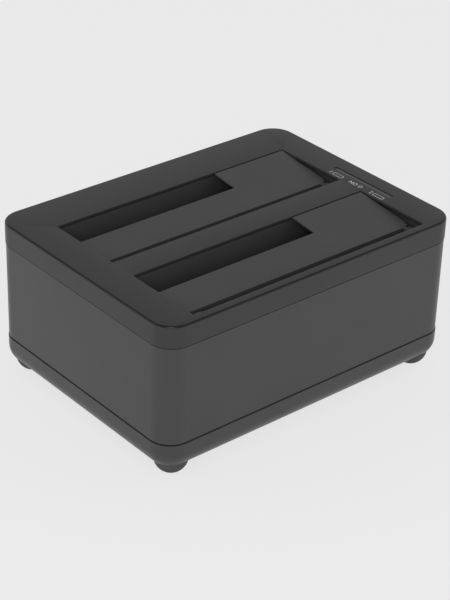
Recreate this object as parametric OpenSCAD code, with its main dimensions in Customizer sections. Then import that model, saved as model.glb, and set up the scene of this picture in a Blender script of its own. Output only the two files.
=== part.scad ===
// Docking station for two hard drives. A cover with a sprung door over each bay, a sleeve and a base tray
// on rubber feet make the housing. Inside are the drive wells, the board and its sockets.
// Millimetres. +Z is up from the surface that the feet stand on, the front is at -Y, and X runs along the bays.

/* [Bays] */
// Length of a bay's mouth
bay_l = 108.2; // [106:0.1:112]
// Width of a bay's mouth: a 3.5 inch drive beside its open door
bay_w = 33.2; // [32:0.1:35]
// Strip of cover between the two mouths
bay_divider = 11.8; // [11:0.1:20]
// Length of the slot that the door leaves open for a 2.5 inch drive
small_slot_l = 73.2; // [70.5:0.1:76]
// Width of that slot
small_slot_w = 12.5; // [10.5:0.1:14]
// Rounding of the edges of a mouth
mouth_r = 0.3; // [0.2:0.1:0.7]
// Thickness of the cover at the far edge and the right edge of a mouth, where it is cut away below
mouth_land = 0.4; // [0.4:0.1:1.2]
// Room for the swing of a door's edge behind the far edge of the mouth
far_room = 0.8; // [0.5:0.1:1]
// Wall of a drive well
well_t = 1.2; // [1:0.1:1.8]
// Floor of a drive well
well_floor_t = 1.4; // [1.2:0.1:2.4]
// Room for the door's lugs and spring past each end of the mouth, under the cover
end_room = 1.9; // [1.8:0.1:3]
// Height of the guide ribs in the foot of a well
guide_h = 2; // [1.5:0.5:5]
// Thickness of a guide rib
guide_t = 1.4; // [1:0.1:2]

/* [Doors] */
// Thickness of a door
door_t = 1.8; // [1.6:0.1:1.9]
// Slope of a closed door, down towards its hinge
door_tilt = 6; // [4:0.1:7]
// Gap round a closed door
door_gap = 0.6; // [0.5:0.05:0.8]
// Depth of a closed door's free edge below the top face
door_drop = 0.1; // [0.1:0.05:0.5]
// Distance from the front edge of the mouth to the hinge axis
hinge_setback = 4; // [3.6:0.1:5]
// Height of the door's top face above the hinge axis
plate_h = 1.2; // [1.1:0.1:1.4]
// Distance from the hinge axis to the near edge of the door
plate_set = 2.1; // [1.8:0.1:2.4]
// Radius of the knuckle at the left end of a door
barrel_r = 1.15; // [1.1:0.05:1.4]
// Radius of the knuckle at its right end
end_barrel_r = 1.5; // [1.2:0.05:1.7]
// Length of a knuckle
knuckle_l = 3; // [2.5:0.1:5]
// Reach of the apron that closes the gap behind the hinge
apron_w = 2.5; // [1.5:0.1:2.6]
// Thickness of that apron
apron_t = 0.8; // [0.7:0.1:1]
// Diameter of a hinge pin
pin_d = 1.2; // [1:0.1:1.3]
// Running clearance of a pin, on the radius
pin_fit = 0.05; // [0.03:0.01:0.1]
// Room for the spring between the left end of a door and its knuckle
spring_room = 3; // [3:0.1:4]
// Reach of a knuckle's tongue, from the hinge axis
tongue_l = 2.6; // [2.5:0.1:4]
// Step in the right end of a door beside its hinge
end_step = 0.5; // [0.3:0.1:1]
// Length of the notch between that end and its knuckle
end_notch = 1.6; // [1:0.1:2]
// Thickness of a door's edge at the slot, where it is cut away below
slot_land = 0.6; // [0.5:0.1:1]
// Length of a stop lug along the door's edge
lug_w = 4; // [3:0.5:6]
// Reach of a stop lug past the end of the door
lug_reach = 1.4; // [1.2:0.1:1.6]
// Height of a stiffening rib under a door
rib_h = 1.2; // [0.8:0.1:1.6]

/* [Door springs] */
// Wire diameter
wire_d = 0.4; // [0.35:0.05:0.45]
// Radius to the middle of the wire in the coil
coil_r = 0.95; // [0.9:0.05:1.1]
// Distance from turn to turn
coil_pitch = 0.85; // [0.8:0.05:0.95]
// Whole turns of the coil
coil_turns = 4; // [3:1:4]
// Length of the leg under the door
door_leg_l = 9; // [7:0.5:12]

/* [Housing] */
// Corner radius in plan
corner_r = 9; // [8.8:0.2:11]
// Wall of the cover, sleeve and base
wall = 2; // [1.6:0.1:2.6]
// Thickness of the cover's top
top_t = 1.8; // [1.6:0.1:2.2]
// Rounding of the cover's upper edge
edge_r = 0.9; // [0.4:0.1:1.5]
// Height of the cover's side
cover_h = 8.6; // [7.5:0.1:12]
// Shadow line between cover and sleeve
cover_seam = 0.4; // [0.2:0.1:1]
// How far the sleeve stands back from the cover and the base
sleeve_inset = 0.2; // [0.1:0.1:0.5]
// Shadow line between sleeve and base
base_seam = 0.6; // [0.4:0.1:1.2]
// Rounding under the base
base_fillet = 7.6; // [5:0.2:8.6]
// Straight part of the base's side, above the rounding
base_side_h = 4.1; // [2.8:0.1:6]
// Thickness of the base's floor
floor_t = 2.2; // [1.8:0.1:3]
// Thickness of the locating lips
lip_t = 1.2; // [1:0.1:1.6]
// How far a lip reaches into the sleeve
lip_h = 1.7; // [1.4:0.1:3]
// Clearance of a lip inside the sleeve
lip_fit = 0.15; // [0.1:0.05:0.25]
// Clearance between a drive well and the housing
well_fit = 0.2; // [0.2:0.05:0.6]
// Radius of the cover's screw pillars
pillar_r = 2.6; // [2.5:0.1:3.4]

/* [Feet] */
// Height of the base above the surface
foot_h = 3.3; // [2.9:0.1:4]
// Diameter of a foot
foot_d = 12.8; // [11:0.1:13]
// Distance from the sides of the housing to the screw above a foot
foot_inset = 8.2; // [8.1:0.1:10]
// Depth of a foot's pocket in the base
foot_pocket = 3.5; // [3.3:0.1:4]
// Diameter of the flat face that a domed foot rests on
foot_rest_d = 6; // [5:0.5:9]
// How far the middle of a foot lies inside its screw, lengthways and crossways
foot_shift = [1, 0.3]; // [0:0.1:1.5]

/* [Status lights] */
// Length of the light window
window_l = 31.4; // [26:0.2:34]
// Width of the light window
window_w = 2; // [1.6:0.1:2.4]
// Distance from the end of the housing to the middle of the window
window_inset = 8.1; // [7.6:0.1:8.6]
// How far the middle of the window lies in front of the middle of the strip between the mouths
window_shift = 1; // [0:0.1:1.5]
// How far the light bar lies below the top face
window_recess = 0.5; // [0.2:0.1:1]

/* [Board and sockets] */
// Height of the board above the sleeve's lower edge
port_sill = 4.5; // [3.6:0.1:6]
// Thickness of the boards
board_t = 1.6; // [1:0.1:2]
// Height of a drive connector
sata_h = 12; // [10:0.5:13]
// How far a drive connector stands up into its well
sata_proud = 5; // [4:0.5:6]
// Depth of the data socket
port_d = 14.9; // [14.5:0.1:20]
// Depth of the recess in the rear wall
recess_d = 1.6; // [1:0.1:2]
// Clearance round a socket in the rear wall
port_fit = 0.3; // [0.2:0.05:0.5]
// Diameter of the power socket's bore
jack_bore_d = 6.4; // [6:0.1:6.6]
// Diameter of the power socket's pin
jack_pin_d = 2.1; // [1.6:0.1:2.5]
// Length of the rocker
rocker_l = 11.2; // [10:0.2:12]
// Swing of the rocker to each side
rocker_tilt = 8; // [6:0.5:9]

/* [Hidden] */
$fn = 64;
eps = 0.01;
lap = 0.1;

// Housing sizes that follow from the bays, walls and sockets
side_margin = end_room + well_t + well_fit + pillar_r + foot_inset;
front_margin = sleeve_inset + wall + well_fit + well_t;
port_set = 0.2;
board_play = 0.6;
rear_margin = sleeve_inset + recess_d + port_set + port_d + board_play + well_t + far_room;
case_l = bay_l + 2 * side_margin;
case_w = front_margin + 2 * bay_w + bay_divider + rear_margin;
base_h = min(base_fillet, corner_r - 0.4) + base_side_h;

// Door and hinge
door_reach = bay_w - hinge_setback - door_gap;
door_len = (door_reach + plate_h * sin(door_tilt)) / cos(door_tilt);
strip_len = (bay_w - hinge_setback - small_slot_w + plate_h * sin(door_tilt)) / cos(door_tilt);
hinge_depth = door_drop + door_len * sin(door_tilt) + plate_h * cos(door_tilt);
door_swing_r = sqrt(door_len * door_len + plate_h * plate_h);
door_under = plate_h - door_t;
door_l = bay_l - 2 * door_gap;
knuckle_x = [-door_l / 2 + spring_room + lap, door_l / 2 - end_step - knuckle_l - lap];
pin_r = pin_d / 2;
pin_end = 0.3;
door_play = 0.7;
rib_t = 1.4;
apron_gap = 0.1;
lug_gap = 0.2;
lug_t = 1.5;
lug_root = 2.5;

// Heights, from the surface up
base_top = foot_h + base_h;
sleeve_z0 = base_top + base_seam;
board_top = sleeve_z0 + port_sill;
board_z = board_top - board_t;
well_floor = board_top + sata_h - sata_proud;
bay_depth = hinge_depth + door_swing_r + guide_h + door_play;
case_h = well_floor + bay_depth;
cover_z0 = case_h - cover_h;
sleeve_z1 = cover_z0 - cover_seam;
top_under = case_h - top_t;
hinge_z = case_h - hinge_depth;

// Places in plan
bay_x0 = -bay_l / 2;
well_half_l = bay_l / 2 + end_room;
well_w = bay_w + far_room;
door_cut_x = bay_x0 + small_slot_l;
foot_x = case_l / 2 - foot_inset;
foot_y = case_w / 2 - foot_inset;
foot_at = [foot_x - foot_shift[0], foot_y - foot_shift[1]];
dome_z = sqrt(pow(foot_d / 2, 2) - pow(foot_rest_d / 2, 2));
window_x = case_l / 2 - window_inset;
divider_y = bay_front(0) + bay_w + bay_divider / 2;
window_y = divider_y - window_shift;
recess_y = case_w / 2 - sleeve_inset - recess_d;
port_y = recess_y - port_set;
board_x = bay_l / 2 - 1;
board_y0 = -case_w / 2 + 6.7;
board_y1 = recess_y - wall - well_fit;

// Drives that the bays hold, and where their connector lies from their edge and face
drive_l = 101.6;
drive_play = 0.6;
connector_from_edge = 30.12;
connector_from_face = 3.5;
connector_x = bay_x0 + drive_play + connector_from_edge;

// Fasteners
case_screw_r = 1.2;
case_head_r = 2.7;
small_screw_r = 0.9;
screw_fit = 0.05;
head_t = 1.7;
head_round = 0.5;
cross_w = 0.5;
cross_depth = 0.9;
post_hole_depth = 12;
boss_t = 4.5;
boss_top = foot_h + foot_pocket + boss_t;
board_post_r = 3;
board_post_x = board_x - 6;
board_posts = [for (x = [-board_post_x, board_post_x], y = [board_y0 + 6, board_y1 - 8]) [x, y]];
ear_r = 3;
ear_x = well_half_l + well_t + 4.5;
ear_t = 2;
ear_gap = 2;
ear_y = [11, 26];
ear_play = 0.3;
screw_head_r = 2;

// Rear sockets: places along X, sizes of their faces, and the recess round them
jack_from_post = 14.3;
jack_x = board_post_x - jack_from_post;
jack_pitch = 24;
data_x = jack_x - jack_pitch;
data_face = [12, 12.4];
jack_face = [9, 11];
jack_d = 14;
jack_bore_depth = 9.5;
jack_axis_h = 6.2;
switch_pitch = 30;
switch_x = data_x - switch_pitch;
switch_h = 8;
switch_face = [15, 10.8];
switch_cut = [12.9, 8.9];
switch_d = 9.5;
recess_x = [switch_x - 12, jack_x + 10];
recess_z0 = base_top + base_seam + lip_h + 1.1;
recess_h = 17;
recess_r = 2;

function bay_front(i) = -case_w / 2 + front_margin + i * (bay_w + bay_divider);
function bay_rear(i) = bay_front(i) + bay_w;
function hinge_y(i) = bay_front(i) + hinge_setback;
function connector_y(i) = bay_rear(i) - drive_play - connector_from_face;

// Shapes that several pieces share

// Rectangle with round corners
module rounded_rect(l, w, r) {
    square([l - 2 * r, w], center = true);
    square([l, w - 2 * r], center = true);
    for (x = [-1, 1], y = [-1, 1]) translate([x * (l / 2 - r), y * (w / 2 - r)]) circle(r);
}

// Flat ring between two rounded rectangles, t wide
module ring(l, w, r, t) {
    difference() {
        rounded_rect(l, w, r);
        rounded_rect(l - 2 * t, w - 2 * t, r - t);
    }
}

// Its children, drawn as a profile from a corner's axis outwards, turned about the four corners
module corner_turns(l, w) {
    for (i = [0:3]) {
        sx = i == 0 || i == 3 ? 1 : -1;
        sy = i < 2 ? 1 : -1;
        translate([sx * l / 2, sy * w / 2, 0]) rotate([0, 0, 90 * i]) rotate_extrude(angle = 90) children();
    }
}

// Section of a block whose two lower edges are rounded by f, up to a little above the rounding
module round_bottom(width, f) {
    translate([-width / 2 + f, 0]) square([width - 2 * f, f + lap]);
    translate([-width / 2, f]) square([width, lap]);
    for (s = [-1, 1]) translate([s * (width / 2 - f), f]) intersection() {
        circle(f);
        translate([-f, -f]) square([2 * f, f]);
    }
}

// Block with corners rounded by r in plan and a lower edge rounded by f
module dish(l, w, r, f, h) {
    translate([0, 0, f]) linear_extrude(h - f) rounded_rect(l, w, r);
    rotate([90, 0, 90]) linear_extrude(l - 2 * r, center = true) round_bottom(w, f);
    rotate([90, 0, 0]) linear_extrude(w - 2 * r, center = true) round_bottom(l, f);
    corner_turns(l - 2 * r, w - 2 * r) {
        square([r - f, f + lap]);
        translate([0, f]) square([r, lap]);
        translate([r - f, f]) intersection() {
            circle(f);
            translate([0, -f]) square(f);
        }
    }
}

// Section of the waste above a rounded edge
module edge_waste(r) {
    difference() {
        square([r, r]);
        translate([r, 0]) circle(r);
    }
}

// Cutter for a rectangular mouth with rounded edges, whose upper face is at z = 0
module mouth_cut(l, w, depth, r) {
    translate([-l / 2, -w / 2, -depth]) cube([l, w, depth + r]);
    translate([0, 0, -r]) {
        for (s = [0, 180]) rotate([0, 0, s]) {
            translate([0, w / 2, 0]) rotate([90, 0, 90]) linear_extrude(l, center = true) edge_waste(r);
            translate([l / 2, 0, 0]) rotate([90, 0, 0]) linear_extrude(w, center = true) edge_waste(r);
        }
        corner_turns(l, w) edge_waste(r);
    }
}

// Upright post or hole from z0 to z1
module post(p, z0, z1, r) {
    translate([p[0], p[1], z0]) cylinder(r = r, h = z1 - z0);
}

// Pan head screw with a cross recess, point up, whose head bears at z = 0
module screw(shank_r, shank_l, head_r) {
    translate([0, 0, -head_round]) cylinder(r = shank_r, h = shank_l + head_round);
    difference() {
        translate([0, 0, -head_t]) rotate_extrude() {
            square([head_r - head_round, head_t]);
            translate([0, head_round]) square([head_r, head_t - head_round]);
            translate([head_r - head_round, head_round]) circle(head_round);
        }
        for (a = [0, 90]) rotate([0, 0, a]) translate([-head_r * 0.55, -cross_w / 2, -head_t - eps])
            cube([head_r * 1.1, cross_w, cross_depth]);
    }
}

// Tube through a list of points, as one closed solid of triangles. "across" is a direction that no part runs along.
module tube(path, r, sides, across) {
    last = len(path) - 1;
    along = [for (i = [0:last]) unit(path[min(i + 1, last)] - path[max(i - 1, 0)])];
    rings = [for (i = [0:last]) let (n = unit(cross(along[i], across)), b = cross(along[i], n))
        for (k = [0:sides - 1]) path[i] + r * (cos(360 * k / sides) * n + sin(360 * k / sides) * b)];
    walls = [for (i = [0:last - 1], k = [0:sides - 1]) let (a = i * sides + k, c = i * sides + (k + 1) % sides)
        each [[a, c, a + sides], [c, c + sides, a + sides]]];
    ends = [for (k = [1:sides - 2]) each [[0, k + 1, k], [last * sides, last * sides + k, last * sides + k + 1]]];
    polyhedron(points = rings, faces = concat(walls, ends));
}

function unit(v) = v / norm(v);

// Housing

module top_cover() color("#3b3b3d") {
    lip_l = case_l - 2 * (sleeve_inset + wall + lip_fit);
    lip_w = case_w - 2 * (sleeve_inset + wall + lip_fit);
    lip_r = corner_r - sleeve_inset - wall - lip_fit;
    lip_z0 = sleeve_z1 - lip_h;
    difference() {
        union() {
            difference() {
                translate([0, 0, case_h]) mirror([0, 0, 1]) dish(case_l, case_w, corner_r, edge_r, cover_h);
                translate([0, 0, cover_z0 - eps]) linear_extrude(top_under - cover_z0 + eps)
                    rounded_rect(case_l - 2 * wall, case_w - 2 * wall, corner_r - wall);
            }
            difference() {
                union() {
                    translate([0, 0, lip_z0]) linear_extrude(cover_z0 - lip_z0 + lip_h / 2) ring(lip_l, lip_w, lip_r, lip_t);
                    translate([0, 0, cover_z0]) linear_extrude(lip_h)
                        ring(case_l - wall, case_w - wall, corner_r - wall / 2, wall / 2 + sleeve_inset + lip_fit + lip_t);
                }
                for (i = [0, 1]) well_clearance(i);
            }
            for (x = [-foot_x, foot_x], y = [-foot_y, foot_y]) post([x, y], boss_top, top_under + eps, pillar_r);
            for (p = ear_places()) post(p, top_under - ear_gap, top_under + eps, ear_r);
            for (p = light_board_posts()) post(p, light_board_z + board_t, top_under + eps, light_post_r);
        }
        for (i = [0, 1]) {
            translate([0, bay_front(i) + bay_w / 2, case_h]) mouth_cut(bay_l, bay_w, top_t + eps, mouth_r);
            mouth_relief(i);
        }
        translate([window_x - window_w / 2, window_y - window_l / 2, top_under - eps])
            cube([window_w, window_l, top_t + 2 * eps]);
        for (x = [-foot_x, foot_x], y = [-foot_y, foot_y])
            post([x, y], boss_top - eps, boss_top + post_hole_depth, case_screw_r + screw_fit);
        for (p = ear_places()) post(p, top_under - ear_gap - eps, top_under + top_t / 2, small_screw_r + screw_fit);
        for (p = light_board_posts()) post(p, light_board_z + board_t - eps, top_under + 0.5, small_screw_r + screw_fit);
    }
}

// Slopes that thin the cover from below at the far edge of a mouth, and at its right edge short of the stop lug
module mouth_relief(i) {
    slope = [[-eps, top_t - mouth_land], [far_room, -eps], [-eps, -eps]];
    translate([0, bay_rear(i), top_under]) rotate([90, 0, 90]) linear_extrude(bay_l, center = true) polygon(slope);
    translate([bay_l / 2, bay_rear(i) - lug_w - 4.5, top_under]) rotate([90, 0, 0])
        linear_extrude(bay_w - lug_w - 4.5) polygon(slope);
}

// Space that a drive well takes under the cover
module well_clearance(i) {
    translate([-well_half_l - well_t - well_fit, bay_front(i) - well_t - well_fit, 0])
        cube([2 * (well_half_l + well_t + well_fit), well_w + 2 * (well_t + well_fit), top_under]);
}

module sleeve() color("#454547") {
    half_l = case_l / 2 - sleeve_inset;
    ledge_l = 60;
    ledge_t = 1.2;
    pad_z0 = recess_z0 - 0.5;
    pad_z1 = recess_z0 + recess_h + 1.5;
    difference() {
        union() {
            translate([0, 0, sleeve_z0]) linear_extrude(sleeve_z1 - sleeve_z0)
                ring(2 * half_l, case_w - 2 * sleeve_inset, corner_r - sleeve_inset, wall);
            for (s = [-1, 1], z = [base_top + base_seam + lip_h, sleeve_z1 - lip_h - 1.5])
                translate([s * (half_l - wall - ledge_t / 2 + 0.25), 0, z + 0.75])
                    cube([ledge_t + 0.5, ledge_l, 1.5], center = true);
            translate([recess_x[0] - 1.5, recess_y - wall, pad_z0])
                cube([recess_x[1] - recess_x[0] + 3, wall + recess_d - wall / 2, pad_z1 - pad_z0]);
        }
        translate([(recess_x[0] + recess_x[1]) / 2, recess_y, recess_z0 + recess_h / 2]) rotate([-90, 0, 0])
            linear_extrude(recess_d + 1) rounded_rect(recess_x[1] - recess_x[0], recess_h, recess_r);
        port_hole(data_x, board_top, data_face);
        port_hole(jack_x, board_top, jack_face);
        port_hole(switch_x, board_top + switch_h - switch_cut[1] / 2, switch_cut);
    }
}

// Hole in the rear wall for a socket whose face stands on z
module port_hole(x, z, face) {
    translate([x - face[0] / 2 - port_fit, recess_y - wall - 1, z - port_fit])
        cube([face[0] + 2 * port_fit, wall + 2, face[1] + 2 * port_fit]);
}

module base_tray() color("#3b3b3d") {
    fillet = base_h - base_side_h;
    lip_l = case_l - 2 * (sleeve_inset + wall + lip_fit);
    lip_w = case_w - 2 * (sleeve_inset + wall + lip_fit);
    lip_r = corner_r - sleeve_inset - wall - lip_fit;
    difference() {
        union() {
            difference() {
                translate([0, 0, foot_h]) dish(case_l, case_w, corner_r, fillet, base_h);
                translate([0, 0, foot_h + floor_t])
                    dish(case_l - 2 * wall, case_w - 2 * wall, corner_r - wall, fillet - wall, base_h);
            }
            translate([0, 0, base_top - eps]) linear_extrude(base_seam + lip_h + eps) ring(lip_l, lip_w, lip_r, lip_t);
            translate([0, 0, base_top - lip_h]) linear_extrude(lip_h)
                ring(case_l - wall, case_w - wall, corner_r - wall / 2, wall / 2 + sleeve_inset + lip_fit + lip_t);
            intersection() {
                translate([0, 0, foot_h]) dish(case_l, case_w, corner_r, fillet, base_h);
                for (x = [-1, 1], y = [-1, 1])
                    post([x * foot_at[0], y * foot_at[1]], foot_h, boss_top, foot_d / 2 + 1.4);
            }
            for (p = board_posts) post(p, foot_h + floor_t - eps, board_z, board_post_r);
        }
        for (x = [-1, 1], y = [-1, 1])
            post([x * foot_at[0], y * foot_at[1]], -eps, foot_h + foot_pocket, foot_d / 2 + 0.1);
        for (x = [-foot_x, foot_x], y = [-foot_y, foot_y]) {
            post([x, y], 0, foot_h + foot_pocket + head_t + 0.3, 3);
            post([x, y], 0, boss_top + eps, case_screw_r + 0.4);
        }
        for (p = board_posts) post(p, board_z - 8, board_z + eps, small_screw_r + screw_fit);
    }
}

module foot(sx, sy) color("#2b2b2c") translate([sx * foot_at[0], sy * foot_at[1], 0]) rotate_extrude() {
    translate([0, dome_z]) square([foot_d / 2, foot_h + foot_pocket - dome_z]);
    intersection() {
        translate([0, dome_z]) circle(foot_d / 2);
        square([foot_d / 2, dome_z]);
    }
}

// Drive wells

function ear_places() = [for (i = [0, 1], s = [-1, 1]) [s * ear_x, bay_front(i) + ear_y[i]]];

module drive_well(i) color("#2f2f31") {
    x0 = -well_half_l;
    y0 = bay_front(i);
    z0 = well_floor - well_floor_t;
    guide_x = bay_x0 + 2 * drive_play + drive_l;
    guide_y = bay_rear(i) - 28;
    window_fit = 0.4;
    window_y0 = connector_y(i) - sata_size[1] / 2 - window_fit;
    difference() {
        union() {
            difference() {
                translate([x0 - well_t, y0 - well_t, z0])
                    cube([2 * (well_half_l + well_t), well_w + 2 * well_t, top_under - z0]);
                translate([x0, y0, well_floor]) cube([2 * well_half_l, well_w, top_under - well_floor + 1]);
            }
            for (y = [y0 + 0.3 * bay_w, y0 + 0.68 * bay_w]) {
                translate([x0 - eps, y, well_floor - eps]) cube([bay_x0 - x0 + 0.2, guide_t, guide_h]);
                translate([guide_x, y, well_floor - eps]) cube([well_half_l - guide_x + eps, guide_t, guide_h]);
            }
            for (x = [-0.34 * bay_l, 0, 0.34 * bay_l])
                translate([x - guide_t / 2, y0 - eps, well_floor - eps]) cube([guide_t, guide_y - y0, guide_h]);
            for (s = [-1, 1]) translate([s * ear_x, y0 + ear_y[i], top_under - ear_gap - ear_t]) {
                cylinder(r = ear_r, h = ear_t);
                translate([s < 0 ? 0 : -ear_x + well_half_l + well_t / 2, -ear_r, 0])
                    cube([ear_x - well_half_l - well_t / 2, 2 * ear_r, ear_t]);
            }
        }
        translate([connector_x - sata_size[0] / 2 - window_fit, window_y0, z0 - eps])
            cube([sata_size[0] + 2 * window_fit, y0 + well_w - window_y0, well_floor_t + 2 * eps]);
        translate([x0 - well_t - eps, hinge_y(i), hinge_z]) rotate([0, 90, 0])
            cylinder(r = pin_r + pin_fit, h = 2 * (well_half_l + well_t + eps));
        for (s = [-1, 1])
            post([s * ear_x, y0 + ear_y[i]], top_under - ear_gap - ear_t - eps, top_under, small_screw_r + ear_play);
    }
}

module well_screws() color("#9a9a9c") for (p = ear_places())
    translate([p[0], p[1], top_under - ear_gap - ear_t]) screw(small_screw_r, ear_t + ear_gap + top_t / 3, screw_head_r);

// Doors, drawn flat on the hinge axis and then sloped

module door(i) color("#3f3f41") {
    half = door_l / 2;
    cut_x = door_cut_x;
    near_x = half - end_step;
    step_y = tongue_l + 2;
    rib_x = [-half + 8, -0.38 * half, cut_x - 4, cut_x + 6, half - 9];
    translate([0, hinge_y(i), hinge_z]) rotate([door_tilt, 0, 0]) difference() {
        union() {
            translate([0, 0, door_under]) linear_extrude(door_t) polygon([
                [-half, plate_set], [near_x, plate_set], [near_x, step_y], [half, step_y], [half, door_len],
                [cut_x, door_len], [cut_x, strip_len], [-half, strip_len]
            ]);
            for (k = [0, 1]) translate([knuckle_x[k], 0, 0]) {
                rotate([0, 90, 0]) cylinder(r = [barrel_r, end_barrel_r][k], h = knuckle_l);
                translate([lap, 0, door_under + lap])
                    cube([knuckle_l - 2 * lap, tongue_l, (k == 0 ? 0.45 : 1) * door_t - 1.5 * lap]);
            }
            translate([-half + spring_room + 3 * lap, 0, door_under - apron_gap - apron_t]) {
                translate([0, -apron_w, 0]) cube([near_x + half - spring_room - 6 * lap, apron_w + tongue_l, apron_t]);
                translate([lap, plate_set + lap, lap])
                    cube([near_x + half - spring_room - 8 * lap, tongue_l - plate_set - 2 * lap, apron_t + door_t / 2]);
            }
            for (x = rib_x) translate([x, plate_set + 0.4, door_under - rib_h])
                cube([rib_t, (x < cut_x ? strip_len : door_len) - plate_set - 1.5, rib_h + eps]);
            stop_lug(half, door_len - 2);
            mirror([1, 0, 0]) stop_lug(half, strip_len - 1);
        }
        translate([-half - 1, 0, 0]) rotate([0, 90, 0]) cylinder(r = pin_r + pin_fit, h = door_l + 2);
        translate([near_x - end_notch, end_barrel_r + 0.1, -door_t - 2]) cube([end_notch + 1, 1.3, 2 * door_t + 4]);
        translate([0, door_len + 1, 0]) rotate([90, 0, 0]) linear_extrude(door_len + 1 - strip_len) polygon([
            [cut_x - 1, plate_h - slot_land], [cut_x, plate_h - slot_land], [cut_x + door_t - slot_land + 0.4, door_under - lap],
            [cut_x + door_t - slot_land + 0.4, door_under - 1], [cut_x - 1, door_under - 1]
        ]);
    }
}

// Lug under the end of a door that meets the cover from below; y1 is its edge furthest from the hinge
module stop_lug(half, y1) {
    edge_depth = door_drop + (door_len - y1) * sin(door_tilt);
    lug_z = min(plate_h - (top_t + lug_gap - edge_depth) / cos(door_tilt), plate_h - 0.6);
    lug_z0 = min(lug_z - lug_t, door_under - eps);
    translate([half - lug_root, y1 - lug_w, lug_z0]) cube([lug_root + lug_reach, lug_w, lug_z - lug_z0]);
    translate([half - lug_root + lap, y1 - lug_w + lap, lug_z0 + lap])
        cube([lug_root - 2 * lap, lug_w - 2 * lap, max(lug_z, door_under + 2 * lap) - lug_z0]);
}

// Two short pins, from the well's end walls into the knuckles
module hinge_pin(i) color("#b9bbbd") translate([0, hinge_y(i), hinge_z]) rotate([0, 90, 0]) {
    translate([0, 0, -well_half_l - well_t]) cylinder(r = pin_r, h = knuckle_x[0] + knuckle_l - pin_end + well_half_l + well_t);
    translate([0, 0, knuckle_x[1] + pin_end]) cylinder(r = pin_r, h = well_half_l + well_t - knuckle_x[1] - pin_end);
}

// Torsion spring on the left end of a hinge pin: a leg under the door, the coil, and a leg against the well's wall

spring_sides = 6;
rings_per_turn = 8;
wall_leg_angle = -50;
wall_leg_gap = 0.15;
wall_leg_l = (hinge_setback - wire_d / 2 - wall_leg_gap + coil_r * cos(wall_leg_angle)) / sin(-wall_leg_angle);
spring_start = door_tilt - 90;
spring_sweep = 360 * coil_turns + spring_start - wall_leg_angle;
spring_steps = round(rings_per_turn * spring_sweep / 360);
spring_path = let (x0 = -door_l / 2 + spring_room - 0.3 - wire_d / 2, x_per_deg = -coil_pitch / 360)
    concat(
        [for (d = [door_leg_l, door_leg_l / 2]) [x0, coil_r * sin(door_tilt) + d * cos(door_tilt),
            -coil_r * cos(door_tilt) + d * sin(door_tilt)]],
        [for (k = [0:spring_steps]) let (a = spring_sweep * k / spring_steps, t = spring_start - a)
            [x0 + a * x_per_deg, coil_r * cos(t), coil_r * sin(t)]],
        [for (d = [wall_leg_l / 2, wall_leg_l]) let (t = wall_leg_angle)
            [x0 + spring_sweep * x_per_deg, coil_r * cos(t) + d * sin(t), coil_r * sin(t) - d * cos(t)]]
    );
spring_gap = min([for (a = [0:len(spring_path) - 1], b = [a + rings_per_turn - 2:1:len(spring_path) - 1])
    norm(spring_path[a] - spring_path[b])]) - wire_d;
echo(least_gap_in_door_spring_mm = spring_gap);

module door_spring(i) color("#c9cbcd") translate([0, hinge_y(i), hinge_z])
    tube(spring_path, wire_d / 2, spring_sides, [1, 0, 0]);

// Status lights

light_flange = [5, window_l + 3, 1.5];
light_gap = 1.5;
light_board_z = top_under - light_flange[2] - light_gap - board_t;
light_board_size = [5.4, window_l + 14];
light_post_r = 2.2;
light_post_end = 3;
light_pitch = 0.35 * window_l;
lamp_base = [1.6, 3.2, 0.6];
lamp_lens = [1.4, 2, 0.6];
window_fit = 0.1;

function light_board_posts() = [for (s = [-1, 1]) [window_x, window_y + s * (light_board_size[1] / 2 - light_post_end)]];

module light_bar() color("#8d9196") translate([window_x, window_y, top_under]) {
    translate([-window_w / 2 + window_fit, -window_l / 2 + window_fit, -eps])
        cube([window_w - 2 * window_fit, window_l - 2 * window_fit, top_t - window_recess + eps]);
    translate([-light_flange[0] / 2, -light_flange[1] / 2, -light_flange[2]]) cube(light_flange);
}

module light_board() color("#1f5c3a") difference() {
    translate([window_x - light_board_size[0] / 2, window_y - light_board_size[1] / 2, light_board_z])
        cube([light_board_size[0], light_board_size[1], board_t]);
    for (p = light_board_posts()) post(p, light_board_z - eps, light_board_z + board_t + eps, small_screw_r + ear_play);
}

module status_lights() color("#e8e6da") for (s = [-1, 0, 1])
    translate([window_x, window_y + s * light_pitch, light_board_z + board_t]) {
        translate([-lamp_base[0] / 2, -lamp_base[1] / 2, 0]) cube(lamp_base);
        translate([-lamp_lens[0] / 2, -lamp_lens[1] / 2, lamp_base[2] - eps]) cube(lamp_lens);
    }

module light_board_screws() color("#9a9a9c") for (p = light_board_posts())
    translate([p[0], p[1], light_board_z]) screw(small_screw_r, board_t + light_flange[2] + light_gap, screw_head_r);

header = [4, 6.4, 5];
header_wall = 0.8;
header_x = board_x - 6.3;
core_r = 0.5;
core_pitch = 1.2;
light_cable_path = let (x1 = window_x + 0.4, z1 = light_board_z, x0 = header_x + header[0], z0 = board_top + 3, d = z1 - z0)
    [[x1, 0, z1], [x1, 0, z1 - 0.13 * d], [x1 + 1, 0, z1 - 0.31 * d], [x1 + 1, 0, z0 + 0.39 * d],
    [x1 - 0.5, 0, z0 + 0.18 * d], [(2 * x0 + x1) / 3 + 2, 0, z0 + 0.05 * d], [x0 + 2.5, 0, z0], [x0, 0, z0]];

module light_cable() color("#54565a") for (k = [-1:1])
    translate([0, window_y + core_pitch * k, 0]) tube(light_cable_path, core_r, 8, [0, 1, 0]);

module light_cable_header() color("#e9e4d2") translate([header_x, window_y - header[1] / 2, board_top]) difference() {
    cube(header);
    translate([header_wall, header_wall, 1.2]) cube([header[0] - 2 * header_wall, header[1] - 2 * header_wall, header[2]]);
}

// Board, connectors and sockets

sata_size = [43.6, 7.2];
signal_l = 10.4;
power_l = 20.6;
key_gap = 2.4;
blade_t = 2.2;

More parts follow.
